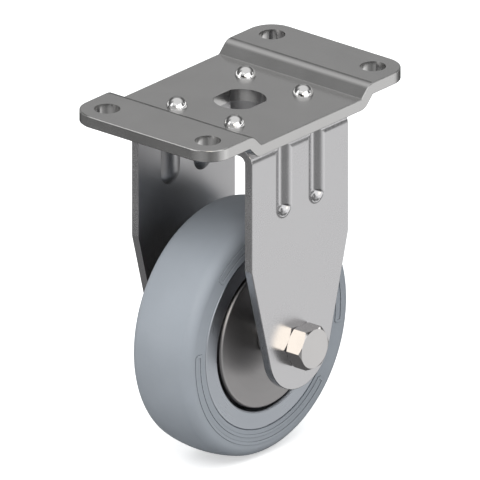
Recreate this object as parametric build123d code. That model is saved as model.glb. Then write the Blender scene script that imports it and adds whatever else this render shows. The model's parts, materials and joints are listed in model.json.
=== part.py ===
from build123d import *
import math
import os

# Fixed caster: a joggled mounting plate, a folded fork riveted under it, and a
# rubber-tyred wheel that runs on two ball bearings. All sizes are in millimetres.
# The origin is the centre of the mounting face, the top of the plate's raised ends.
# +Z points up, X is the rolling direction, and the bolt head is on the -Y side.

# Overall height from the floor to the mounting face
overall_height = 184.8

# Wheel
wheel_diameter = 125.0
tread_width = 36.0
crown_radius = 58.0
shoulder_radius = 6.0
rim_diameter = 94.4
rim_ring_width = 9.2
rim_lip_width = 4.0
rim_channel_depth = 1.5
rim_edge_radius = 1.0
rim_web_thickness = 9.0
rim_root_radius = 3.0
hub_wall = 6.5
rim_draft_deg = 2.0
hub_shoulder_height = 1.5
bearing_seat_clearance = 0.02

# Fine raised frames on the tyre's sides, two long curved ones a side, bare inside.
# Each is two arcs joined by a short bar at each end, and starts at an angle above +X.
frame_inset = 2.9
frame_width = 3.6
frame_span_deg = 143.0
frame_starts_deg = (-10.0, 175.0)
frame_line_width = 1.7
frame_line_height = 0.35
frame_line_edge_radius = 0.3
frame_line_root = 3.0

# Mounting plate
plate_length = 148.5
plate_width = 89.2
plate_thickness = 6.0
plate_step = 6.0
plate_recess_length = 74.4
plate_bend_deg = 45.0
plate_bend_inside_radius = 0.4
plate_corner_radius = 13.0
plate_edge_radius = 0.5
bolt_spacing_x = 122.3
bolt_spacing_y = 62.6
bolt_hole_diameter = 12.6

# Middle hole, round with two flats, through the plate and the fork
centre_hole_diameter = 25.4
centre_hole_flats = 22.2

# Rivets
rivet_spacing_x = 50.8
rivet_spacing_y = 35.8
rivet_head_diameter = 10.2
rivet_head_height = 4.4
rivet_shank_diameter = 7.0
rivet_closing_diameter = 10.0
rivet_closing_height = 3.0
rivet_hole_clearance = 0.1

# Fork
fork_inside_width = 66.2
fork_thickness = 4.4
fork_leg_width = 71.5
fork_bend_inside_radius = 3.6
fork_taper_above_axle = 47.6
fork_end_radius = 22.4
fork_corner_radius = 4.0
fork_edge_radius = 0.5

# Ribs pressed into each leg
rib_spacing = 24.1
rib_width = 12.2
rib_depth = 3.4
rib_edge_radius = 1.3
rib_end_above_axle = 68.8
rib_wall_share = 0.9

# Axle bolt, nut and sleeve
axle_diameter = 12.0
axle_hole_clearance = 0.15
axle_length = 90.0
hex_across_flats = 19.5
hex_head_height = 9.0
hex_chamfer_deg = 30.0
nut_height = 12.0
nut_collar_height = 3.6
nut_collar_inset = 0.6
nut_insert_height = 3.0
nut_insert_inset = 0.4
nut_insert_wall = 1.9
thread_root_diameter = 10.4
thread_clearance = 0.05
axle_end_chamfer = 0.6
sleeve_outside_diameter = 15.0
sleeve_clearance = 0.1

# Ball bearings
bearing_outside_diameter = 35.0
bearing_width = 11.0
bearing_edge_radius = 0.6
ball_diameter = 5.95
ball_count = 8
ball_clearance = 0.05
inner_shoulder_diameter = 20.6
outer_shoulder_diameter = 29.6
cage_inside_diameter = 22.4
cage_outside_diameter = 27.6
cage_width = 7.8
cage_clearance = 0.12
seal_thickness = 0.9
seal_inset = 0.25
seal_seat_depth = 0.7
seal_gap = 0.3
seal_clearance = 0.03

# What sits on the sleeve beside the bearings
bearing_spacer_outside_diameter = 19.0
shim_thickness = 1.0
side_spacer_outside_diameter = 18.4
spacer_edge_chamfer = 0.4
cover_thickness = 1.5
cover_gap = 1.6
cover_proud = 0.6
cover_edge_radius = 1.3
cover_skirt_depth = 4.5

# Two places nearer than this are the same place
same_place = 0.001

# Heights worked out from the sizes above
wheel_radius = wheel_diameter / 2
axle_z = wheel_radius - overall_height
recess_z = -plate_step
fork_top_z = recess_z - plate_thickness

rivet_hole_diameter = rivet_shank_diameter + 2 * rivet_hole_clearance

# Half widths across the axle
half_tread = tread_width / 2
leg_inner_y = fork_inside_width / 2
leg_outer_y = leg_inner_y + fork_thickness
cover_outer_y = half_tread + cover_proud
cover_inner_y = cover_outer_y - cover_thickness
bearing_outer_y = cover_inner_y - shim_thickness
bearing_inner_y = bearing_outer_y - bearing_width

# Radii round the axle
rim_radius = rim_diameter / 2
rim_mouth_radius = rim_radius - rim_ring_width
cover_radius = rim_mouth_radius - cover_gap
bearing_radius = bearing_outside_diameter / 2
hub_radius = bearing_radius + hub_wall
sleeve_radius = sleeve_outside_diameter / 2
seat_radius = sleeve_radius + sleeve_clearance
axle_radius = axle_diameter / 2
axle_hole_radius = axle_radius + axle_hole_clearance
ball_radius = ball_diameter / 2
nut_bore_radius = thread_root_diameter / 2 + thread_clearance
insert_radius = nut_bore_radius + nut_insert_wall
hub_shoulder_radius = bearing_radius - hub_shoulder_height
pitch_radius = (sleeve_outside_diameter + bearing_outside_diameter) / 4

# The two sides of the caster, by name, with the sign of Y
SIDES = {"near": -1, "far": 1}


def spun(face):
    """Turn a half section, drawn with X as radius and Y along the axle, round the axle."""
    body = revolve(face, Axis.Y, 360)
    return Pos(0, 0, axle_z) * body


def tube(inner_radius, outer_radius, y_start, y_end, edge_chamfer=0):
    """A ring round the axle between two places along it, its outer edges chamfered if asked."""
    low = min(y_start, y_end)
    high = max(y_start, y_end)
    with BuildSketch(Plane.XY) as section:
        with Locations(((inner_radius + outer_radius) / 2, (low + high) / 2)):
            Rectangle(outer_radius - inner_radius, high - low)
        if edge_chamfer:
            chamfer(section.vertices().group_by(Axis.X)[-1], edge_chamfer)
    return spun(section.sketch)


def round_hole(x, y, z_low, z_high, diameter):
    """A plain drill along Z."""
    depth = z_high - z_low
    return Pos(x, y, z_low) * Cylinder(
        diameter / 2, depth, align=(Align.CENTER, Align.CENTER, Align.MIN)
    )


def centre_cutter(z_low, z_high):
    """The round hole with two flats that goes through the plate and the fork."""
    with BuildSketch(Plane.XY.offset(z_low)) as outline:
        Circle(centre_hole_diameter / 2)
        Rectangle(centre_hole_diameter, centre_hole_flats, mode=Mode.INTERSECT)
    return extrude(outline.sketch, z_high - z_low)


def rectangle_places(spacing_x, spacing_y):
    """The four corners of a hole pattern round the origin."""
    return [
        (side_x * spacing_x / 2, side_y * spacing_y / 2)
        for side_x in (-1, 1)
        for side_y in (-1, 1)
    ]


def make_plate():
    """One sheet whose two ends are raised by a joggle, so that the rivet heads sit low."""
    slope = math.tan(math.radians(plate_bend_deg))
    shift = plate_thickness * math.tan(math.radians(plate_bend_deg / 2))
    valley = plate_recess_length / 2
    ridge = valley + plate_step / slope
    end = plate_length / 2
    under_z = -plate_thickness
    top = [(-end, 0), (-ridge, 0), (-valley, recess_z), (valley, recess_z), (ridge, 0), (end, 0)]
    under = [(end, under_z), (ridge + shift, under_z), (valley + shift, fork_top_z)]
    under += [(-x, z) for x, z in reversed(under)]
    with BuildSketch(Plane.XZ) as section:
        Polygon(*top, *under, align=None)
        outer_bends = both_ends((ridge, 0), (valley + shift, fork_top_z))
        fillet(corners_at(section, outer_bends), plate_bend_inside_radius + plate_thickness)
        inner_bends = both_ends((valley, recess_z), (ridge + shift, under_z))
        fillet(corners_at(section, inner_bends), plate_bend_inside_radius)
    plate = extrude(section.sketch, plate_width / 2, both=True)
    plate = fillet(plate.edges().filter_by(Axis.Z), plate_corner_radius)
    plate = fillet(outline_edges(plate, plate_width / 2, Axis.Z), plate_edge_radius)
    for x, y in rectangle_places(bolt_spacing_x, bolt_spacing_y):
        plate -= round_hole(x, y, under_z, 0, bolt_hole_diameter)
    for x, y in rectangle_places(rivet_spacing_x, rivet_spacing_y):
        plate -= round_hole(x, y, fork_top_z, 0, rivet_hole_diameter)
    return plate - centre_cutter(fork_top_z, 0)


def both_ends(*places):
    """The same places in a section on its +X and its -X half."""
    return [(side * x, z) for x, z in places for side in (-1, 1)]


def outline_edges(sheet, half_width, seam_axis):
    """The outline's edges on a sheet's two faces at this distance from the middle, without its seams."""
    on_face = sheet.edges().filter_by(lambda edge: abs(abs(edge.center().Y) - half_width) < same_place)
    return [edge for edge in on_face if edge not in on_face.filter_by(seam_axis)]


def leg_outline():
    """The fork's side view: a wide top, a taper, and a round end about the axle."""
    half = fork_leg_width / 2
    reach = math.hypot(half, fork_taper_above_axle)
    turn = math.atan2(fork_taper_above_axle, half) - math.acos(fork_end_radius / reach)
    touch_x = fork_end_radius * math.cos(turn)
    touch_z = axle_z + fork_end_radius * math.sin(turn)
    taper_z = axle_z + fork_taper_above_axle
    corners = [(half, fork_top_z), (half, taper_z), (touch_x, touch_z)]
    corners += [(-x, z) for x, z in reversed(corners)]
    with BuildSketch(Plane.XZ) as outline:
        Polygon(*corners, align=None)
        with Locations((0, axle_z)):
            Circle(fork_end_radius)
        fillet(corners_at(outline, both_ends((half, taper_z))), fork_corner_radius)
    return extrude(outline.sketch, leg_outer_y, both=True)


def fork_channel(half_width, top_z, bend_radius):
    """A long block with a rounded top, filled: the outside or the inside of the fold."""
    bottom_z = axle_z - fork_end_radius
    with BuildSketch(Plane.YZ) as section:
        with Locations((0, (top_z + bottom_z) / 2)):
            Rectangle(2 * half_width, top_z - bottom_z)
        fillet(section.vertices().group_by(Axis.Y)[-1], bend_radius)
    return extrude(section.sketch, fork_leg_width / 2, both=True)


def rib_shapes(x):
    """The groove pressed into the near leg's outside, and the swelling it raises inside."""
    half = rib_width / 2
    lift = (half**2 - rib_depth**2) / (2 * rib_depth) - rib_edge_radius
    groove_radius = rib_depth + lift
    swell_radius = groove_radius + fork_thickness * rib_wall_share
    end_z = axle_z + rib_end_above_axle + half
    share = groove_radius / (groove_radius + rib_edge_radius)
    touch = (half * share, (rib_edge_radius + lift) * share - lift)
    lean = math.atan2(half - touch[0], rib_edge_radius - touch[1]) / 2
    mid = (half - rib_edge_radius * math.sin(lean), rib_edge_radius * (1 - math.cos(lean)))
    with BuildSketch(Plane.XY) as right_half:
        with BuildLine():
            Line((0, -rib_width), (half, -rib_width))
            Line((half, -rib_width), (half, 0))
            ThreePointArc((half, 0), mid, touch)
            RadiusArc(touch, (0, rib_depth), groove_radius)
            Line((0, rib_depth), (0, -rib_width))
        make_face()
    place = Pos(x, -leg_outer_y, end_z)
    run = fork_top_z - end_z
    whole = right_half.sketch + mirror(right_half.sketch, Plane.YZ)
    groove = place * (extrude(whole, run) + revolve(right_half.sketch, Axis.Y, 360))
    swell = Pos(x, -leg_outer_y - lift, end_z) * (
        Sphere(swell_radius)
        + Cylinder(swell_radius, run, align=(Align.CENTER, Align.CENTER, Align.MIN))
    )
    return groove, swell


def make_fork():
    """One sheet folded into two legs, with a pair of ribs pressed into each leg."""
    outside = fork_channel(leg_outer_y, fork_top_z, fork_bend_inside_radius + fork_thickness)
    inside = fork_channel(leg_inner_y, fork_top_z - fork_thickness, fork_bend_inside_radius)
    profile = leg_outline()
    fork = (outside - inside) & profile
    fork = fillet(outline_edges(fork, leg_outer_y, Axis.X), fork_edge_radius)
    for x in (-rib_spacing / 2, rib_spacing / 2):
        groove, swell = rib_shapes(x)
        swell = swell & outside
        fork = fork + swell + mirror(swell, Plane.XZ)
        fork = fork - groove - mirror(groove, Plane.XZ)
    fork -= tube(0, axle_hole_radius, -leg_outer_y, leg_outer_y)
    low_z = fork_top_z - 2 * fork_thickness
    for x, y in rectangle_places(rivet_spacing_x, rivet_spacing_y):
        fork -= round_hole(x, y, low_z, fork_top_z, rivet_hole_diameter)
    return fork - centre_cutter(low_z, fork_top_z)


def cap(base_radius, height):
    """A round rivet head standing on the XY plane."""
    sphere_radius = (base_radius**2 + height**2) / (2 * height)
    ball = Pos(0, 0, height - sphere_radius) * Sphere(sphere_radius)
    keep = Cylinder(base_radius * 2, height * 2, align=(Align.CENTER, Align.CENTER, Align.MIN))
    return ball & keep


def make_rivet(x, y):
    """A solid rivet with a high round head on the plate and a closing head under the fork."""
    under_z = fork_top_z - fork_thickness
    head = Pos(0, 0, recess_z) * cap(rivet_head_diameter / 2, rivet_head_height)
    closing = Pos(0, 0, under_z) * Rot(180, 0, 0) * cap(rivet_closing_diameter / 2, rivet_closing_height)
    shank = round_hole(0, 0, under_z, recess_z, rivet_shank_diameter)
    return Pos(x, y, 0) * (head + shank + closing)


def hexagon(y_low, y_high):
    """A hexagon bar along the axle, its corners on X, with both ends chamfered to a circle."""
    corner = hex_across_flats / math.sqrt(3)
    with BuildSketch(Plane.XZ) as outline:
        RegularPolygon(corner, 6)
    bar = Pos(0, y_high, axle_z) * extrude(outline.sketch, y_high - y_low)
    flat = hex_across_flats / 2
    drop = (corner - flat) * math.tan(math.radians(hex_chamfer_deg))
    points = [(0, y_low), (flat, y_low), (corner, y_low + drop)]
    points += [(corner, y_high - drop), (flat, y_high), (0, y_high)]
    with BuildSketch(Plane.XY) as section:
        Polygon(*points, align=None)
    return bar & spun(section.sketch)


def make_axle_bolt():
    """The hex bolt that carries the wheel: head on the near leg, end past the nut."""
    head = hexagon(-leg_outer_y - hex_head_height, -leg_outer_y)
    end = axle_length - leg_outer_y
    shank = tube(0, axle_radius, -leg_outer_y, leg_outer_y)
    thread = tube(0, thread_root_diameter / 2, leg_outer_y, end)
    thread = chamfer(thread.edges().group_by(Axis.Y)[-1], axle_end_chamfer)
    return head + shank + thread


def make_axle_nut():
    """Self-locking nut on the far leg, with a round collar that holds the insert."""
    hex_top = leg_outer_y + nut_height - nut_collar_height
    top = leg_outer_y + nut_height
    collar_radius = hex_across_flats / 2 - nut_collar_inset
    nut = hexagon(leg_outer_y, hex_top)
    collar = tube(0, collar_radius, hex_top - nut_collar_inset, top)
    collar = fillet(collar.edges().group_by(Axis.Y)[-1], nut_collar_inset)
    nut = nut + collar
    nut -= tube(0, nut_bore_radius, leg_outer_y, top)
    return nut - tube(0, insert_radius, top - nut_insert_height, top)


def make_nut_insert():
    """The plastic ring that grips the thread."""
    top = leg_outer_y + nut_height
    return tube(nut_bore_radius, insert_radius, top - nut_insert_height, top - nut_insert_inset)


def tyre_profile():
    """Half of the tyre's outside, from the crown to the side face, as points and arcs."""
    crown_centre = wheel_radius - crown_radius
    shoulder_y = half_tread - shoulder_radius
    shoulder_r = crown_centre + math.sqrt((crown_radius - shoulder_radius) ** 2 - shoulder_y**2)
    lean = math.atan2(shoulder_y, shoulder_r - crown_centre)
    half_lean = (lean + math.pi / 2) / 2
    join = (crown_centre + crown_radius * math.cos(lean), crown_radius * math.sin(lean))
    bulge = (
        shoulder_r + shoulder_radius * math.cos(half_lean),
        shoulder_y + shoulder_radius * math.sin(half_lean),
    )
    return join, bulge, (shoulder_r, half_tread)


def make_tyre():
    """Solid rubber tyre with a crowned tread and fine raised frames on both sides."""
    join, bulge, side = tyre_profile()
    lip_y = half_tread - rim_lip_width
    channel_radius = rim_radius - rim_channel_depth
    with BuildSketch(Plane.XY) as section:
        with BuildLine():
            ThreePointArc((join[0], -join[1]), (wheel_radius, 0), join)
            ThreePointArc(join, bulge, side)
            Line(side, (rim_radius, half_tread))
            Polyline((rim_radius, half_tread), (rim_radius, lip_y), (channel_radius, lip_y), (channel_radius, 0))
            Polyline((channel_radius, 0), (channel_radius, -lip_y), (rim_radius, -lip_y))
            Polyline((rim_radius, -lip_y), (rim_radius, -half_tread), (side[0], -side[1]))
            ThreePointArc((side[0], -side[1]), (bulge[0], -bulge[1]), (join[0], -join[1]))
        make_face()
    tyre = spun(section.sketch)
    for start in frame_starts_deg:
        frame = sidewall_frame(start)
        tyre = tyre + frame + mirror(frame, Plane.XZ)
    return tyre


def sidewall_frame(start_deg):
    """One raised frame on the near side of the tyre, its lines rooted in the rubber."""
    inner = rim_radius + frame_inset
    outer = inner + frame_width
    depth = frame_line_root + frame_line_height
    middle_y = depth / 2 - half_tread - frame_line_height
    line = RectangleRounded(frame_line_width, depth, frame_line_edge_radius)
    arcs = [revolve(Pos(radius, middle_y) * line, Axis.Y, frame_span_deg) for radius in (inner, outer)]
    bar_place = Plane.YZ.offset(inner) * Pos(middle_y, 0) * Rot(0, 0, 90)
    bar = extrude(bar_place * line, frame_width)
    frame = arcs[0] + arcs[1] + bar + Rot(0, frame_span_deg, 0) * bar
    return Pos(0, 0, axle_z) * Rot(0, -start_deg - frame_span_deg, 0) * frame


def make_rim():
    """Cast wheel centre: a broad ring, a web, and a hub with two bearing seats."""
    draft = math.tan(math.radians(rim_draft_deg))
    web_y = rim_web_thickness / 2
    band_foot = rim_mouth_radius - draft * (half_tread - web_y)
    hub_foot = hub_radius + draft * (bearing_outer_y - web_y)
    seat = bearing_radius + bearing_seat_clearance
    lip_y = half_tread - rim_lip_width
    channel_radius = rim_radius - rim_channel_depth
    ring = [(rim_mouth_radius, half_tread), (rim_radius, half_tread)]
    hub_face = [(seat, bearing_outer_y), (hub_radius, bearing_outer_y)]
    feet = [(hub_foot, web_y), (band_foot, web_y)]
    outline = [(hub_shoulder_radius, 0), (hub_shoulder_radius, bearing_inner_y), (seat, bearing_inner_y)]
    outline += hub_face + feet + ring
    outline += [(rim_radius, lip_y), (channel_radius, lip_y), (channel_radius, 0)]
    with BuildSketch(Plane.XY) as section:
        Polygon(*outline, align=None)
        fillet(corners_at(section, feet), rim_root_radius)
        fillet(corners_at(section, ring), rim_edge_radius)
        fillet(corners_at(section, hub_face[1:]), rim_edge_radius)
        mirror(about=Plane.XZ)
    return spun(section.sketch)


def corners_at(section, places):
    """The corners of a section that stand at the given places in its own plane."""
    return [v for v in section.vertices() if any(math.dist((v.X, v.Y), p) < same_place for p in places)]


def make_cover(sign):
    """Pressed disc that keeps thread and dirt out of the wheel, with a short turned-in skirt."""
    skirt_y = cover_outer_y - cover_skirt_depth
    inner = cover_radius - cover_thickness
    outline = [(seat_radius, cover_inner_y), (seat_radius, cover_outer_y), (cover_radius, cover_outer_y)]
    outline += [(cover_radius, skirt_y), (inner, skirt_y), (inner, cover_inner_y)]
    with BuildSketch(Plane.XY) as section:
        Polygon(*outline, align=None)
        fillet(corners_at(section, [(cover_radius, cover_outer_y)]), cover_edge_radius)
    cover = spun(section.sketch)
    return cover if sign > 0 else mirror(cover, Plane.XZ)


def race_section(low_radius, high_radius, y_mid):
    """A bearing ring's section with its raceway cut out, as a sketch in radius and Y."""
    groove_radius = ball_radius + ball_clearance
    with BuildSketch(Plane.XY) as section:
        with Locations(((low_radius + high_radius) / 2, y_mid)):
            Rectangle(high_radius - low_radius, bearing_width)
        with Locations((pitch_radius, y_mid)):
            Circle(groove_radius, mode=Mode.SUBTRACT)
    return section


def make_inner_ring(y_mid):
    """Inner ring, still on the sleeve, with its bore edges rounded."""
    section = race_section(seat_radius, inner_shoulder_diameter / 2, y_mid).sketch
    bore_corners = section.vertices().group_by(Axis.X)[0]
    return spun(fillet(bore_corners, bearing_edge_radius))


def make_outer_ring(y_mid):
    """Outer ring in the hub, with a seat for a seal at each face."""
    shoulder = outer_shoulder_diameter / 2
    section = race_section(shoulder, bearing_radius, y_mid).sketch
    section = fillet(section.vertices().group_by(Axis.X)[-1], bearing_edge_radius)
    for side in (-1, 1):
        face_y = y_mid + side * bearing_width / 2
        depth = seal_inset + seal_thickness
        seat = Pos(shoulder, face_y - side * depth / 2) * Rectangle(2 * seal_seat_depth, depth)
        section -= seat
    return spun(section)


def make_seal(y_mid, side):
    """A thin seal that turns with the outer ring and just clears the inner ring."""
    face_y = y_mid + side * (bearing_width / 2 - seal_inset)
    inner = inner_shoulder_diameter / 2 + seal_gap
    outer = outer_shoulder_diameter / 2 + seal_seat_depth - seal_clearance
    return tube(inner, outer, face_y, face_y - side * seal_thickness)


def ball_places(y_mid):
    """The centres of a bearing's balls."""
    step = 2 * math.pi / ball_count
    return [
        (pitch_radius * math.cos(i * step), y_mid, axle_z + pitch_radius * math.sin(i * step))
        for i in range(ball_count)
    ]


def make_balls(y_mid):
    """A bearing's balls, each a solid of its own."""
    return Compound([Pos(*place) * Sphere(ball_radius) for place in ball_places(y_mid)])


def make_cage(y_mid):
    """The ring that keeps the balls apart, with a pocket drilled through it for each."""
    low_y = y_mid - cage_width / 2
    high_y = y_mid + cage_width / 2
    cage = tube(cage_inside_diameter / 2, cage_outside_diameter / 2, low_y, high_y)
    pocket = Cylinder(
        ball_radius + cage_clearance,
        cage_outside_diameter,
        align=(Align.CENTER, Align.CENTER, Align.MIN),
    )
    for i in range(ball_count):
        cage -= Pos(0, y_mid, axle_z) * Rot(0, i * 360 / ball_count, 0) * pocket
    return cage


def make_all():
    """Every piece by its name."""
    spacer_radius = side_spacer_outside_diameter / 2
    pieces = {
        "mounting_plate": make_plate(),
        "fork": make_fork(),
        "axle_bolt": make_axle_bolt(),
        "axle_nut": make_axle_nut(),
        "nut_insert": make_nut_insert(),
        "axle_sleeve": tube(axle_hole_radius, sleeve_radius, -leg_inner_y, leg_inner_y),
        "tyre": make_tyre(),
        "rim": make_rim(),
    }
    middle = bearing_spacer_outside_diameter / 2
    pieces["bearing_spacer"] = tube(
        seat_radius, middle, -bearing_inner_y, bearing_inner_y, spacer_edge_chamfer
    )
    ends = {-1: "front", 1: "rear"}
    for name, sign in SIDES.items():
        for end_sign, end in ends.items():
            x = end_sign * rivet_spacing_x / 2
            pieces[f"rivet_{end}_{name}"] = make_rivet(x, sign * rivet_spacing_y / 2)
        y_mid = sign * (bearing_inner_y + bearing_outer_y) / 2
        pieces[f"side_spacer_{name}"] = tube(
            seat_radius, spacer_radius, sign * cover_outer_y, sign * leg_inner_y, spacer_edge_chamfer
        )
        pieces[f"shim_{name}"] = tube(seat_radius, spacer_radius, sign * bearing_outer_y, sign * cover_inner_y)
        pieces[f"cover_disc_{name}"] = make_cover(sign)
        pieces[f"bearing_inner_ring_{name}"] = make_inner_ring(y_mid)
        pieces[f"bearing_outer_ring_{name}"] = make_outer_ring(y_mid)
        pieces[f"bearing_outer_seal_{name}"] = make_seal(y_mid, sign)
        pieces[f"bearing_inner_seal_{name}"] = make_seal(y_mid, -sign)
        pieces[f"bearing_balls_{name}"] = make_balls(y_mid)
        pieces[f"bearing_cage_{name}"] = make_cage(y_mid)
    return pieces


os.makedirs("parts", exist_ok=True)
for node, shape in make_all().items():
    export_step(shape, f"parts/{node}.step")
    print(node, round(shape.volume))
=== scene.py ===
import json
import math

import bmesh
import bpy
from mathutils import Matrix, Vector


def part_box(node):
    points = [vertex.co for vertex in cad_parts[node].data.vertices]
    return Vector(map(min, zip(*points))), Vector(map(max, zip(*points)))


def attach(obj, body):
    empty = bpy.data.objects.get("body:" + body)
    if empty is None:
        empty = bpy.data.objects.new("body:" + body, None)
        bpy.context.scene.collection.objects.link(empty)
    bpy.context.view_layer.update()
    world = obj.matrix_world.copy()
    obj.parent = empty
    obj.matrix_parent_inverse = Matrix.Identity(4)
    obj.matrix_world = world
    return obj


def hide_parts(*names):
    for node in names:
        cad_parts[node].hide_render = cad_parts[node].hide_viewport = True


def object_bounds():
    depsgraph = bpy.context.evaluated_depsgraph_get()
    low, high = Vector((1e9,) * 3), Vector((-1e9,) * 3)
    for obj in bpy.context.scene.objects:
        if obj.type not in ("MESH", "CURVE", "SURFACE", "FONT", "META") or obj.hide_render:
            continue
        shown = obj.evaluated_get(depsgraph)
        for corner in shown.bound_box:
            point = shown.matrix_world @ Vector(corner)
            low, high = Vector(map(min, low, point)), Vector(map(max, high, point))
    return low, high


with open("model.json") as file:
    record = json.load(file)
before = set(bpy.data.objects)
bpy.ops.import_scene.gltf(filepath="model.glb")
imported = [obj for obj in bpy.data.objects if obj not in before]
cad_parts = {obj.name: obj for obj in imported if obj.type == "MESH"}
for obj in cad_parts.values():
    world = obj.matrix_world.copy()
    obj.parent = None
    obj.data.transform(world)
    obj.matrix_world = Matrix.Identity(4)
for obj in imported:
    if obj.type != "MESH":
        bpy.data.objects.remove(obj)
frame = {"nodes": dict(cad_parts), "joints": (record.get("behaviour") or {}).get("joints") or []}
nodes = frame["nodes"]
cad_low, cad_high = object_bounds()

# The photograph's view: an orthographic camera, its angles in degrees and the width of its frame in metres
view_azimuth = -50.0
view_elevation = 22.2
frame_width = 0.2287
aim_above_axle = 0.0438
camera_distance = 1.2

# Places taken from the frame, in metres; the spacer's end touches the leg's inside
face_margin = 0.0001
axle = Vector(frame["joints"][0]["pos_m"])
leg_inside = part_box("side_spacer_far")[1].y + face_margin
fork_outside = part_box("fork")[1].y
fork_top_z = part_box("fork")[1].z
thread_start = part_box("axle_nut")[1].y
bolt_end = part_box("axle_bolt")[1].y
floor_z = cad_low.z

# The studio that metal reflects: its plain light by the sine of the height above the horizon
sky_heights = (
    (-1.0, 0.22),
    (-0.08, 0.22),
    (0.06, 0.10),
    (0.52, 0.10),
    (0.66, 0.36),
    (0.80, 0.66),
    (1.0, 0.66),
)

# Its light from below the horizon, by compass bearing from +X towards +Y in degrees, and the level there
lower_bearings = (
    (-180, 0.36),
    (-170, 0.40),
    (-152, 0.35),
    (-132, 0.22),
    (-106, 0.31),
    (-78, 0.76),
    (-57, 1.10),
    (-46, 0.90),
    (-38, 0.88),
    (-31, 0.80),
    (-19, 0.32),
    (-4, 0.14),
    (22, 0.07),
    (60, 0.08),
    (100, 0.19),
    (140, 0.18),
    (165, 0.30),
    (180, 0.36),
)

# Between these sines of the height, the light from below the horizon gives way to the plain light
lower_light_ends = (-0.28, -0.16)

# Between these ones it fades towards straight below, down to a share of itself
lower_light_fades = (-0.79, -0.75)
light_left_below = 0.15

# Its panels of light: bearing from the camera's, to the right in the picture, and half the width, in
# degrees, then the lowest and highest sine of the height, and the level added
light_panels = (
    (-70, 14, -0.12, 0.70, 1.1),
    (38, 28, -0.12, 0.74, 1.1),
    (-100, 48, -0.12, 0.13, 0.9),
    (100, 38, 0.09, 0.20, 1.5),
    (-25, 25, 0.40, 0.80, 0.4),
    (180, 16, 0.26, 0.46, 0.34),
    (100, 8, 0.30, 0.46, 0.90),
)

# The lamp beside the camera, in the same terms, and its colour
warm_lamp = (4, 13, 0.26, 0.58, 2.7)
warm_colour = (1.0, 0.93, 0.82, 1)

# Dark flags, in the same terms, with the share of light that each takes away
dark_flags = (
    (-22, 17, -0.25, 0.28, 0.98),
    (-98, 15, 0.58, 0.86, 0.45),
)

# How gradually a panel's edge fades, in radians, and half of it in height
panel_softness = 0.09

# Soft light that falls on dull surfaces: from straight below, from straight above, and its colour
soft_light_low = 0.02
soft_light_high = 1.16
soft_light_colour = (0.97, 0.99, 1.0, 1)

# The lamp that throws the soft shadow: its place from the caster's middle, its sides, power and colour
key_place = (-0.7, -0.5, 0.9)
key_size = (0.7, 0.7)
key_power = 7.0
key_colour = (1.0, 0.98, 0.95)

# The floor: its paper's darkest and lightest grey, its grey as other surfaces see it, and its own glow
floor_size = 12.0
floor_gap = 0.0002
paper_greys = (0.88, 0.92)
paper_grain_scale = 300
floor_bounce_grey = 0.55
floor_glow = 0.5

# Noise between these two values runs from none to all of what it steers
noise_low = 0.3
noise_high = 0.7

# Bare metal: marks that are wide and faint, and hair scratches that lie level
smudge_scale = 45
smudge_span = (0.35, 0.7)
smudge_roughness = 0.06
hair_stretch = (1, 1, 14)
hair_scale = 210
hair_span = (0.66, 0.72)
hair_roughness = 0.05
grain_roughness_spread = 0.1
grain_tint_share = 0.2
metal_dark = 0.965
metal_light = 1.03

# The fork's inside between the legs, with painted shade: how dark the painted shade makes its colour, how
# much of that shows, and the roughness added
inside_shade_dark = 0.4
inside_shade_share = 0.3
dull_roughness = 0.08

# Rubber: a fine pebble, cloudy areas and scuffs
pebble_scale = 2600
pebble_depth = 1.2e-5
cloud_scale = 38
cloud_depth = 2e-5
cloud_roughness = (-0.04, 0.05)
scuff_scale = 320
scuff_span = (0.62, 0.75)
scuff_roughness = 0.08
scuff_dark = 0.86
scuff_share = 0.35
rubber_dark = 0.96
rubber_light = 1.04

# Painted shade against the tyre's raised lines: how far out the tyre's sides are, and the heights above them
# where the painted shade starts, is full, thins out and ends
tyre_side = 0.018
line_shade_starts = 1e-5
line_shade_full = 5e-5
line_shade_thins = 2.2e-4
line_shade_ends = 3.3e-4
line_shade_dark = 0.2
line_shade_share = 0.8

# Plastic: a fine skin and faint flow marks
skin_scale = 1800
skin_depth = 6e-6
skin_roughness = 0.05
flow_scale = 120
plastic_dark = 0.93
plastic_light = 1.04

# Grooves pressed into each leg: their section, and how high above the axle they end
groove_spacing = 0.0241
groove_width = 0.0129
groove_edge_radius = 0.0052
groove_floor_radius = 0.0026
groove_flank_deg = 40.0
groove_end_above_axle = 0.0688
groove_end_centre = 0.0061
groove_clear = 0.002

# The bowl at a groove's end, and how far round the end the groove turns into it
bowl_edge_radius = 0.0028
bowl_flank_deg = 50.0
bowl_blend_deg = 20.0

# Steps in each arc of a groove's section, and round its end
section_steps = 10
end_steps = 48

# Fills of the solid's own grooves, which follow the fork's fold up to an angle, in steps
fill_width = 0.0126
fill_depth = 0.0039
fill_proud = 0.00001
fold_radius = 0.008
fold_filled_deg = 60
fold_step_deg = 5

# Edges sharper than this stay sharp, and corners nearer than this are one
sharp_edge_deg = 30.0
joined_within = 0.000001
normal_weight = 100

# Thread on the bolt's end: half of its ridge's foot and of its crest are shares of the pitch
thread_pitch = 0.00175
thread_outside_radius = 0.00597
thread_root_radius = 0.0051
thread_foot_share = 0.44
thread_crest_share = 1 / 16
thread_end_gap = 0.0006
thread_run_out = 0.1
thread_steps_a_turn = 48
ridge_corners = 4

azimuth = math.radians(view_azimuth)
elevation = math.radians(view_elevation)
to_camera = Vector(
    (
        math.sin(azimuth) * math.cos(elevation),
        -math.cos(azimuth) * math.cos(elevation),
        math.sin(elevation),
    )
)
level_right = (math.cos(azimuth), math.sin(azimuth), 0)
level_to_camera = (math.sin(azimuth), -math.cos(azimuth), 0)


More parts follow.
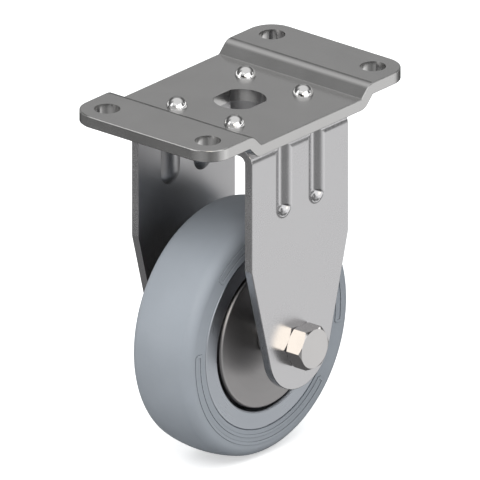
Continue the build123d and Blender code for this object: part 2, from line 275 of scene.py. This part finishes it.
class Shader:
    """A node tree with short ways to add and join nodes."""

    def __init__(self, tree):
        self.tree = tree
        self.tree.nodes.clear()

    def add(self, kind, inputs=(), **settings):
        """A new node: settings are its own values, and inputs set or join its sockets by name or place."""
        node = self.tree.nodes.new(kind)
        for key, value in settings.items():
            setattr(node, key, value)
        for key, value in dict(inputs).items():
            if isinstance(value, bpy.types.NodeSocket):
                self.tree.links.new(value, node.inputs[key])
            else:
                node.inputs[key].default_value = value
        return node

    def math(self, operation, *values):
        return self.add("ShaderNodeMath", enumerate(values), operation=operation).outputs[0]

    def vector(self, operation, *values):
        node = self.add("ShaderNodeVectorMath", enumerate(values), operation=operation)
        return node.outputs["Value" if operation in ("DOT_PRODUCT", "LENGTH") else "Vector"]

    def map_range(self, value, low, high, to_low, to_high, kind="LINEAR"):
        inputs = {"Value": value, "From Min": low, "From Max": high, "To Min": to_low, "To Max": to_high}
        return self.add("ShaderNodeMapRange", inputs, interpolation_type=kind).outputs["Result"]

    def noise(self, place, scale, detail=4.0, roughness=0.55):
        inputs = {"Vector": place, "Scale": scale, "Detail": detail, "Roughness": roughness}
        return self.add("ShaderNodeTexNoise", inputs).outputs["Fac"]

    def spread(self, noise, low, high):
        """Noise, drawn out to run from one value to another."""
        return self.map_range(noise, noise_low, noise_high, low, high)

    def mix(self, factor, first, second):
        node = self.add("ShaderNodeMix", {"Factor": factor}, data_type="RGBA")
        for socket, value in ((node.inputs[6], first), (node.inputs[7], second)):
            if isinstance(value, bpy.types.NodeSocket):
                self.tree.links.new(value, socket)
            else:
                socket.default_value = value
        return node.outputs[2]

    def own_place(self):
        """The piece's own coordinates, in metres."""
        return self.add("ShaderNodeTexCoord").outputs["Object"]

    def stretched(self, scale):
        """The same, stretched so that noise on them makes grain along an axis."""
        return self.add("ShaderNodeMapping", {"Vector": self.own_place(), "Scale": scale}).outputs["Vector"]

    def round_axle(self):
        """Coordinates for turned surfaces: the same all the way round the axle."""
        from_axle = self.vector("SUBTRACT", self.own_place(), tuple(axle))
        across = self.add("ShaderNodeSeparateXYZ", {"Vector": from_axle})
        radius = self.vector("LENGTH", self.vector("MULTIPLY", from_axle, (1, 0, 1)))
        return self.add("ShaderNodeCombineXYZ", {"X": radius, "Y": across.outputs["Y"]}).outputs["Vector"]

    def from_middle(self):
        """How far a point lies from the caster's middle plane."""
        across = self.add("ShaderNodeSeparateXYZ", {"Vector": self.own_place()}).outputs["Y"]
        return self.math("ABSOLUTE", across)


def grey(level):
    return (level, level, level, 1)


def shade(colour, factor):
    """A colour made lighter or darker, with its alpha."""
    return tuple(min(1, channel * factor) for channel in colour) + (1,)


def new_material(name):
    material = bpy.data.materials.new(name)
    material.use_nodes = True
    return material, Shader(material.node_tree)


def linked(name, data):
    """A new object, in the scene."""
    piece = bpy.data.objects.new(name, data)
    bpy.context.scene.collection.objects.link(piece)
    return piece


def finish_surface(s, base, roughness, bumps, principled):
    """Joins a principled surface: bumps are pairs of a height and its depth in metres."""
    normal = None
    for height, depth in bumps:
        inputs = {"Height": height, "Distance": depth, "Strength": 1.0}
        if normal is not None:
            inputs["Normal"] = normal
        normal = s.add("ShaderNodeBump", inputs).outputs["Normal"]
    inputs = {"Base Color": base, "Roughness": roughness, "Normal": normal}
    surface = s.add("ShaderNodeBsdfPrincipled", {**inputs, **principled})
    s.add("ShaderNodeOutputMaterial", {"Surface": surface.outputs["BSDF"]})


def metal(
    name,
    colour,
    roughness,
    grain=(1, 1, 1),
    grain_scale=1500,
    grain_depth=2e-6,
    turned=False,
    painted_shade_and_rough_within=None,
):
    """Bare metal: fine grain, faint marks and hair scratches.

    Nearer to the caster's middle plane than the given distance, if there is one, it is rougher and its colour
    is darkened by painted shade.
    """
    material, s = new_material(name)
    place = s.round_axle() if turned else s.stretched(grain)
    fine = s.noise(place, grain_scale, detail=6)
    smudges = s.noise(s.own_place(), smudge_scale, detail=5)
    hair = s.noise(s.stretched(hair_stretch), hair_scale, detail=8, roughness=0.7)
    scratches = s.map_range(hair, *hair_span, 0, 1)

    spread = roughness * grain_roughness_spread
    rough = s.spread(fine, roughness - spread, roughness + spread)
    rough = s.math("ADD", rough, s.map_range(smudges, *smudge_span, 0, smudge_roughness))
    rough = s.math("ADD", rough, s.math("MULTIPLY", scratches, hair_roughness))

    of_grain = s.math("MULTIPLY", fine, grain_tint_share)
    of_smudges = s.math("MULTIPLY", smudges, 1 - grain_tint_share)
    tint = s.spread(s.math("ADD", of_grain, of_smudges), 0, 1)
    base = s.mix(tint, shade(colour, metal_dark), shade(colour, metal_light))
    if painted_shade_and_rough_within:
        # Painted shade: the colour darkens on the faces between the legs, near the middle plane
        inside = s.math("LESS_THAN", s.from_middle(), painted_shade_and_rough_within)
        base = s.mix(s.math("MULTIPLY", inside, inside_shade_share), base, shade(colour, inside_shade_dark))
        rough = s.math("ADD", rough, s.math("MULTIPLY", inside, dull_roughness))
    bumps = [(fine, grain_depth), (scratches, -grain_depth)]
    finish_surface(s, base, rough, bumps, {"Metallic": 1.0})
    return material


def rubber(name, colour, roughness, line_root=None):
    """Moulded rubber: a satin skin with a fine pebble, cloudy areas and scuffs.

    Painted shade lies against lines that stand on sides this far from the middle plane, if line_root is
    given.
    """
    material, s = new_material(name)
    pebble = s.noise(s.own_place(), pebble_scale, detail=3)
    cloud = s.noise(s.own_place(), cloud_scale, detail=6)
    scuff = s.map_range(s.noise(s.own_place(), scuff_scale, detail=8, roughness=0.7), *scuff_span, 0, 1)

    smoothest, roughest = (roughness + change for change in cloud_roughness)
    rough = s.spread(cloud, smoothest, roughest)
    rough = s.math("ADD", rough, s.math("MULTIPLY", scuff, scuff_roughness))

    base = s.mix(s.spread(cloud, 0, 1), shade(colour, rubber_dark), shade(colour, rubber_light))
    base = s.mix(s.math("MULTIPLY", scuff, scuff_share), base, shade(colour, scuff_dark))
    if line_root:
        # Painted shade: the colour darkens between these heights above the tyre's sides, against the raised
        # lines
        from_middle = s.from_middle()
        above_root = s.map_range(from_middle, line_root + line_shade_starts, line_root + line_shade_full, 0, 1)
        below_top = s.map_range(from_middle, line_root + line_shade_ends, line_root + line_shade_thins, 0, 1)
        painted_line_shade = s.math("MULTIPLY", s.math("MULTIPLY", above_root, below_top), line_shade_share)
        base = s.mix(painted_line_shade, base, shade(colour, line_shade_dark))
    finish_surface(s, base, rough, [(pebble, pebble_depth), (cloud, cloud_depth)], {})
    return material


def plastic(name, colour, roughness):
    """Moulded plastic: faint flow marks and a fine skin."""
    material, s = new_material(name)
    skin = s.noise(s.own_place(), skin_scale, detail=3)
    flow = s.noise(s.own_place(), flow_scale, detail=4)
    base = s.mix(s.spread(flow, 0, 1), shade(colour, plastic_dark), shade(colour, plastic_light))
    rough = s.spread(skin, roughness - skin_roughness, roughness + skin_roughness)
    finish_surface(s, base, rough, [(skin, skin_depth)], {})
    return material


def dress(prefixes, material):
    """Gives a material to every CAD node whose name starts with one of these."""
    for name, node in nodes.items():
        if name.startswith(prefixes):
            node.data.materials.clear()
            node.data.materials.append(material)


def dress_all():
    """A finish for each piece, by the start of its name."""
    plate = metal("plate_steel", (0.60, 0.595, 0.59), 0.17, grain=(1, 6, 6))
    dress(("mounting_plate",), plate)
    fork = metal(
        "fork_steel",
        (0.63, 0.625, 0.635),
        0.23,
        grain=(6, 6, 1),
        grain_depth=4e-7,
        painted_shade_and_rough_within=leg_inside,
    )
    dress(("fork",), fork)
    rivet = metal("rivet_steel", (0.93, 0.925, 0.92), 0.03, grain_scale=900, grain_depth=2e-7)
    dress(("rivet",), rivet)
    dress(("axle_bolt", "axle_nut"), metal("hardware_steel", (0.64, 0.625, 0.62), 0.05))
    dress(("nut_insert",), plastic("insert_nylon", (0.80, 0.80, 0.76), 0.4))
    spacer = metal("turned_steel", (0.56, 0.56, 0.555), 0.25, turned=True, grain_scale=2500, grain_depth=4e-6)
    dress(("axle_sleeve", "side_spacer", "shim", "bearing_spacer"), spacer)
    cover = metal("cover_steel", (0.40, 0.39, 0.39), 0.38, turned=True, grain_scale=1800, grain_depth=2e-7)
    dress(("cover_disc",), cover)
    ground = metal("bearing_steel", (0.70, 0.70, 0.70), 0.1, turned=True, grain_scale=3000, grain_depth=1e-6)
    dress(("bearing_inner_ring", "bearing_outer_ring"), ground)
    dress(("bearing_inner_seal", "bearing_outer_seal"), rubber("seal_rubber", (0.025, 0.025, 0.027), 0.5))
    dress(("bearing_cage",), plastic("cage_nylon", (0.62, 0.56, 0.44), 0.45))
    dress(("bearing_balls",), metal("ball_steel", (0.85, 0.85, 0.85), 0.03, grain_depth=2e-7))
    dress(("tyre",), rubber("tyre_rubber", (0.345, 0.375, 0.415), 0.42, line_root=tyre_side))
    rim = metal("rim_metal", (0.455, 0.482, 0.52), 0.28, turned=True, grain_scale=1600, grain_depth=2e-7)
    dress(("rim",), rim)


def half_section(edge_radius, floor_radius, lean, depth):
    """Half of a groove's section, from clear of the sheet to its deepest line.

    It is pairs of half width and depth: an arc at the edge, a straight flank that leans in, and an arc
    at the bottom.
    """
    half = groove_width / 2
    angles = [lean * i / section_steps for i in range(section_steps + 1)]
    edge = [(half - edge_radius * math.sin(a), edge_radius * (1 - math.cos(a))) for a in angles]
    floor = [(floor_radius * math.sin(a), depth - floor_radius * (1 - math.cos(a))) for a in angles]
    return [(0, -groove_clear), (half, -groove_clear)] + edge + floor[::-1]


def groove_section(turn):
    """The groove's half section where its outline has turned this far.

    The groove is straight at a turn of none and of half a circle, and in between its end is a bowl that
    is rounder and as deep.
    """
    half = groove_width / 2
    lean = math.radians(groove_flank_deg)
    radii = groove_edge_radius + groove_floor_radius
    depth = half * math.tan(lean) - radii * (1 / math.cos(lean) - 1)
    straight = half_section(groove_edge_radius, groove_floor_radius, lean, depth)
    lean = math.radians(bowl_flank_deg)
    radii = (half * math.tan(lean) - depth) / (1 / math.cos(lean) - 1)
    bowl = half_section(bowl_edge_radius, radii - bowl_edge_radius, lean, depth)
    share = min(1, min(turn, math.pi - turn) / math.radians(bowl_blend_deg))
    share = share * share * (3 - 2 * share)
    return [(w + (u - w) * share, d + (e - d) * share) for (w, d), (u, e) in zip(straight, bowl)]


def fill_section(turn):
    """The half section of an old groove's fill, the same at any turn."""
    half = fill_width / 2
    return [(0, -fill_proud), (half, -fill_proud), (half, fill_depth), (0, fill_depth)]


def groove_bars(name, section_at, top):
    """A bar in each groove of both legs, down it and round its end.

    section_at gives half of the bar's section at each turn, and top is pairs of a height and how far in
    from the leg's face the bar lies there, from the top down.
    """
    form = bmesh.new()
    end_z = axle.z + groove_end_above_axle + groove_end_centre
    turns = [math.pi * i / end_steps for i in range(end_steps + 1)]
    stations = [(z, 0, inward) for z, inward in top]
    stations += [(end_z, turn, 0) for turn in turns]
    stations += [(z, math.pi, inward) for z, inward in reversed(top)]
    for x in (-groove_spacing / 2, groove_spacing / 2):
        for side in (-1, 1):
            rows = []
            for z, turn, inward in stations:
                face = fork_outside - inward
                places = [
                    (x + w * math.cos(turn), side * (face - d), z - w * math.sin(turn))
                    for w, d in section_at(turn)
                ]
                rows.append([form.verts.new(place) for place in places])
            for row, after in zip(rows, rows[1:]):
                for k in range(len(row) - 1):
                    form.faces.new((row[k], row[k + 1], after[k + 1], after[k]))
            form.faces.new(rows[0] + rows[-1][::-1])
    bmesh.ops.remove_doubles(form, verts=form.verts, dist=joined_within)
    bmesh.ops.recalc_face_normals(form, faces=form.faces)
    bars = linked(name, bpy.data.meshes.new(name))
    form.to_mesh(bars.data)
    form.free()
    return bars


def shaded_by_face(mesh):
    """Joins loose corners, marks sharp edges, and makes the faces between them smooth."""
    form = bmesh.new()
    form.from_mesh(mesh)
    bmesh.ops.remove_doubles(form, verts=form.verts, dist=joined_within)
    bmesh.ops.dissolve_degenerate(form, edges=form.edges, dist=joined_within)
    for face in form.faces:
        face.smooth = True
    for edge in form.edges:
        edge.smooth = edge.is_manifold and edge.calc_face_angle() < math.radians(sharp_edge_deg)
    form.to_mesh(mesh)
    form.free()


def settled(piece, kind, **settings):
    """Gives a piece one modifier, with its result made its own mesh."""
    modifier = piece.modifiers.new(kind.lower(), kind)
    for key, value in settings.items():
        setattr(modifier, key, value)
    seen = piece.evaluated_get(bpy.context.evaluated_depsgraph_get())
    mesh = bpy.data.meshes.new_from_object(seen)
    piece.modifiers.clear()
    piece.data = mesh


def press_grooves():
    """The folded sheet with smooth grooves in its legs, in place of the fork's solid.

    The solid's own grooves are filled up, and then the smooth ones are cut.
    """
    sheet = linked("pressed_fork", nodes["fork"].data.copy())
    if "custom_normal" in sheet.data.attributes:
        sheet.data.attributes.remove(sheet.data.attributes["custom_normal"])
    shaded_by_face(sheet.data)
    angles = [math.radians(degrees) for degrees in range(fold_filled_deg, -1, -fold_step_deg)]
    fold = [(fork_top_z - fold_radius * (1 - math.sin(a)), fold_radius * (1 - math.cos(a))) for a in angles]
    fills = groove_bars("groove_fills", fill_section, fold)
    cuts = groove_bars("groove_cuts", groove_section, [(fork_top_z + groove_clear, 0)])
    for bars, operation in ((fills, "UNION"), (cuts, "DIFFERENCE")):
        settled(sheet, "BOOLEAN", operation=operation, solver="EXACT", object=bars)
        bpy.data.objects.remove(bars)
        shaded_by_face(sheet.data)
    settled(sheet, "WEIGHTED_NORMAL", keep_sharp=True, weight=normal_weight)
    sheet.data.name = "pressed_fork"
    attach(sheet, "frame")
    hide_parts("fork")


def make_thread():
    """The fine thread past the nut: a ridge wound round the bolt's end, flush at both ends."""
    low = thread_start
    high = bolt_end - thread_end_gap
    length = high - low
    turns = length / thread_pitch
    steps = int(turns * thread_steps_a_turn)
    foot = thread_pitch * thread_foot_share
    crest = thread_pitch * thread_crest_share
    vertices = []
    for i in range(steps + 1):
        share = i / steps
        angle = 2 * math.pi * turns * share
        middle = low + length * share
        fade = min(1, min(share, 1 - share) / thread_run_out)
        crest_radius = thread_root_radius + (thread_outside_radius - thread_root_radius) * fade
        for radius, along in (
            (thread_root_radius, -foot),
            (crest_radius, -crest),
            (crest_radius, crest),
            (thread_root_radius, foot),
        ):
            y = min(max(middle + along, low), high)
            vertices.append((axle.x + radius * math.cos(angle), y, axle.z + radius * math.sin(angle)))
    faces = []
    for i in range(steps):
        first = ridge_corners * i
        second = first + ridge_corners
        for k in range(ridge_corners):
            after = (k + 1) % ridge_corners
            faces.append((first + k, first + after, second + after, second + k))
    faces.append((0, 3, 2, 1))
    last = ridge_corners * steps
    faces.append((last, last + 1, last + 2, last + 3))
    mesh = bpy.data.meshes.new("axle_thread")
    mesh.from_pydata(vertices, [], faces)
    mesh.update()
    thread = linked("axle_thread", mesh)
    thread.data.materials.append(nodes["axle_bolt"].data.materials[0])
    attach(thread, "frame")


def make_floor():
    """A plain pale floor, white to the camera, that keeps the caster's shadow."""
    bpy.ops.mesh.primitive_plane_add(size=floor_size, location=(0, 0, floor_z - floor_gap))
    floor = bpy.context.object
    floor.name = "floor"
    material, s = new_material("floor_paper")
    path = s.add("ShaderNodeLightPath").outputs
    seen = s.math("MAXIMUM", path["Is Camera Ray"], path["Is Glossy Ray"])
    seen = s.math("MAXIMUM", seen, path["Is Transmission Ray"])
    paper = s.mix(s.noise(s.own_place(), paper_grain_scale), grey(paper_greys[0]), grey(paper_greys[1]))
    paper = s.mix(path["Is Diffuse Ray"], paper, grey(floor_bounce_grey))
    diffuse = s.add("ShaderNodeBsdfDiffuse", {"Color": paper})
    strength = s.math("MULTIPLY", seen, floor_glow)
    glow = s.add("ShaderNodeEmission", {"Color": grey(1), "Strength": strength})
    both = s.add("ShaderNodeAddShader", {0: diffuse.outputs[0], 1: glow.outputs[0]})
    s.add("ShaderNodeOutputMaterial", {"Surface": both.outputs[0]})
    floor.data.materials.append(material)
    floor.visible_glossy = False


def level_ramp(s, value, stops):
    """A smooth curve of light levels over a value from 0 to 1; stops are pairs of a place and a level."""
    node = s.add("ShaderNodeValToRGB", {"Fac": value})
    ramp = node.color_ramp
    ramp.interpolation = "EASE"
    ramp.elements.remove(ramp.elements[1])
    ramp.elements[0].position, ramp.elements[0].color = stops[0][0], grey(stops[0][1])
    for place, level in stops[1:]:
        ramp.elements.new(place).color = grey(level)
    return s.add("ShaderNodeRGBToBW", {"Color": node.outputs["Color"]}).outputs[0]


def panel(s, bearing, height, place, half_width, low, high, level):
    """A soft-edged sheet of light round a bearing from the camera's, between two heights."""
    turned = s.math("WRAP", s.math("SUBTRACT", bearing, math.radians(place)), math.pi, -math.pi)
    aside = s.math("ABSOLUTE", turned)
    edge = math.radians(half_width)
    soft = panel_softness / 2
    across = s.map_range(aside, edge + panel_softness, edge - panel_softness, 0, level, "SMOOTHSTEP")
    above = s.map_range(height, low - soft, low + soft, 0, 1, "SMOOTHSTEP")
    below = s.map_range(height, high + soft, high - soft, 0, 1, "SMOOTHSTEP")
    return s.math("MULTIPLY", across, s.math("MULTIPLY", above, below))


def studio_light(s, direction):
    """The light that metal reflects from each direction, and its tint."""
    parts = s.add("ShaderNodeSeparateXYZ", {"Vector": direction}).outputs
    height = parts["Z"]
    sky_stops = [((z + 1) / 2, level) for z, level in sky_heights]
    sky = level_ramp(s, s.map_range(height, -1, 1, 0, 1), sky_stops)
    compass = s.math("ARCTAN2", parts["Y"], parts["X"])
    lower_stops = [((a + 180) / 360, level) for a, level in lower_bearings]
    lower = level_ramp(s, s.map_range(compass, -math.pi, math.pi, 0, 1), lower_stops)
    left = s.map_range(height, *lower_light_fades, light_left_below, 1, "SMOOTHSTEP")
    lower = s.math("MULTIPLY", lower, left)
    high = s.map_range(height, *lower_light_ends, 0, 1, "SMOOTHSTEP")
    low = s.math("SUBTRACT", 1.0, high)
    light = s.math("ADD", s.math("MULTIPLY", sky, high), s.math("MULTIPLY", lower, low))
    aside = s.vector("DOT_PRODUCT", direction, level_right)
    ahead = s.vector("DOT_PRODUCT", direction, level_to_camera)
    bearing = s.math("ARCTAN2", aside, ahead)
    for values in light_panels + (warm_lamp,):
        light = s.math("ADD", light, panel(s, bearing, height, *values))
    for values in dark_flags:
        light = s.math("MULTIPLY", light, s.math("SUBTRACT", 1.0, panel(s, bearing, height, *values)))
    tint = s.mix(panel(s, bearing, height, *warm_lamp), grey(1), warm_colour)
    return light, tint, height


def make_world():
    """A studio for reflections, soft light for dull surfaces, and white behind the caster."""
    world = bpy.data.worlds.new("studio")
    bpy.context.scene.world = world
    world.use_nodes = True
    s = Shader(world.node_tree)
    light, tint, height = studio_light(s, s.add("ShaderNodeTexCoord").outputs["Generated"])
    studio = s.add("ShaderNodeBackground", {"Color": tint, "Strength": light})
    soft_level = s.map_range(height, -1, 1, soft_light_low, soft_light_high)
    soft = s.add("ShaderNodeBackground", {"Color": soft_light_colour, "Strength": soft_level})
    white = s.add("ShaderNodeBackground", {"Color": grey(1), "Strength": 1.0})
    path = s.add("ShaderNodeLightPath").outputs
    lit = s.add("ShaderNodeMixShader", {0: path["Is Glossy Ray"], 1: soft.outputs[0], 2: studio.outputs[0]})
    both = s.add("ShaderNodeMixShader", {0: path["Is Camera Ray"], 1: lit.outputs[0], 2: white.outputs[0]})
    s.add("ShaderNodeOutputWorld", {"Surface": both.outputs[0]})


def make_lamp(name, place, size, power, colour):
    """One soft rectangular lamp that points at the caster's middle."""
    data = bpy.data.lights.new(name, "AREA")
    data.shape = "RECTANGLE"
    data.size, data.size_y = size
    data.energy = power
    data.color = colour
    lamp = linked(name, data)
    lamp.location = (cad_low + cad_high) / 2 + Vector(place)
    lamp.rotation_euler = (-Vector(place)).to_track_quat("-Z", "Y").to_euler()
    lamp.visible_glossy = False


def make_camera():
    """An orthographic camera at the photograph's angle and frame."""
    data = bpy.data.cameras.new("camera")
    data.type = "ORTHO"
    data.ortho_scale = frame_width
    camera = linked("camera", data)
    aim = axle + Vector((0, 0, aim_above_axle))
    camera.location = aim + to_camera * camera_distance
    camera.rotation_euler = (-to_camera).to_track_quat("-Z", "Y").to_euler()
    bpy.context.scene.camera = camera


dress_all()
press_grooves()
make_thread()
make_floor()
make_world()
make_lamp("key", key_place, key_size, key_power, key_colour)
make_camera()
bpy.context.scene.view_settings.view_transform = "Standard"
